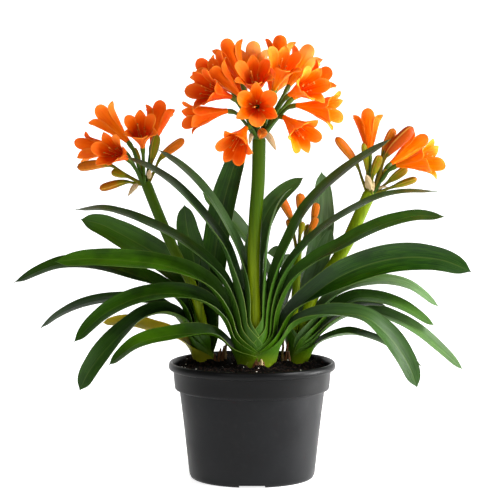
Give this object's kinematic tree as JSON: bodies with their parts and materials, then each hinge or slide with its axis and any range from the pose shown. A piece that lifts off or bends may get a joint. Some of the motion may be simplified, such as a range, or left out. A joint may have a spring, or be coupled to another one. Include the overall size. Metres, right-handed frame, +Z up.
{
  "type": "potted plant",
  "caption": "Flowering clivia in a round tapered nursery pot: strap leaves in crowns that arch to both sides, and stalks that carry heads of open orange trumpet flowers and buds.",
  "frame": {"origin": "middle of the pot's flat base, at the height that it stands on", "axes": "+Z up the flower stalks; +X and -X the ways that the leaves arch; -Y the broad side that the main flowers face"},
  "size_m": [0.5229, 0.19, 0.5044],
  "materials": {
    "pot": "satin",
    "soil": "matte",
    "stem": "satin",
    "leaf": "glossy",
    "petal": "satin"
  },
  "bodies": {
    "root": {"pot": "pot", "soil": "soil", "stem_main": "stem", "stem_left": "stem", "stem_right": "stem", "leaf_main_l1": "leaf", "leaf_main_l2": "leaf", "leaf_main_l3": "leaf", "leaf_main_l4": "leaf", "leaf_main_l5": "leaf", "leaf_main_l6": "leaf", "leaf_main_r1": "leaf", "leaf_main_r2": "leaf", "leaf_main_r3": "leaf", "leaf_main_r4": "leaf", "leaf_main_r5": "leaf", "leaf_main_r6": "leaf", "leaf_main_back": "leaf", "leaf_left_1": "leaf", "leaf_left_2": "leaf", "leaf_left_3": "leaf", "leaf_left_4": "leaf", "leaf_left_5": "leaf", "leaf_left_6": "leaf", "leaf_left_7": "leaf", "leaf_right_1": "leaf", "leaf_right_2": "leaf", "leaf_right_3": "leaf", "leaf_right_4": "leaf", "leaf_right_5": "leaf", "leaf_right_6": "leaf", "leaf_right_7": "leaf", "leaf_right_8": "leaf", "leaf_right_9": "leaf", "bloom_main_1": "petal", "bloom_main_2": "petal", "bloom_main_3": "petal", "bloom_main_4": "petal", "bloom_main_5": "petal", "bloom_main_6": "petal", "bloom_main_7": "petal", "bloom_main_8": "petal", "bloom_main_9": "petal", "bloom_main_10": "petal", "bloom_main_11": "petal", "bloom_main_12": "petal", "bloom_main_13": "petal", "bloom_main_14": "petal", "bloom_main_15": "petal", "bloom_main_16": "petal", "bloom_main_17": "petal", "bloom_main_18": "petal", "bloom_left_1": "petal", "bloom_left_2": "petal", "bloom_left_3": "petal", "bloom_left_4": "petal", "bloom_left_5": "petal", "bloom_right_1": "petal", "bloom_right_2": "petal", "bloom_right_3": "petal"}
  },
  "joints": []
}
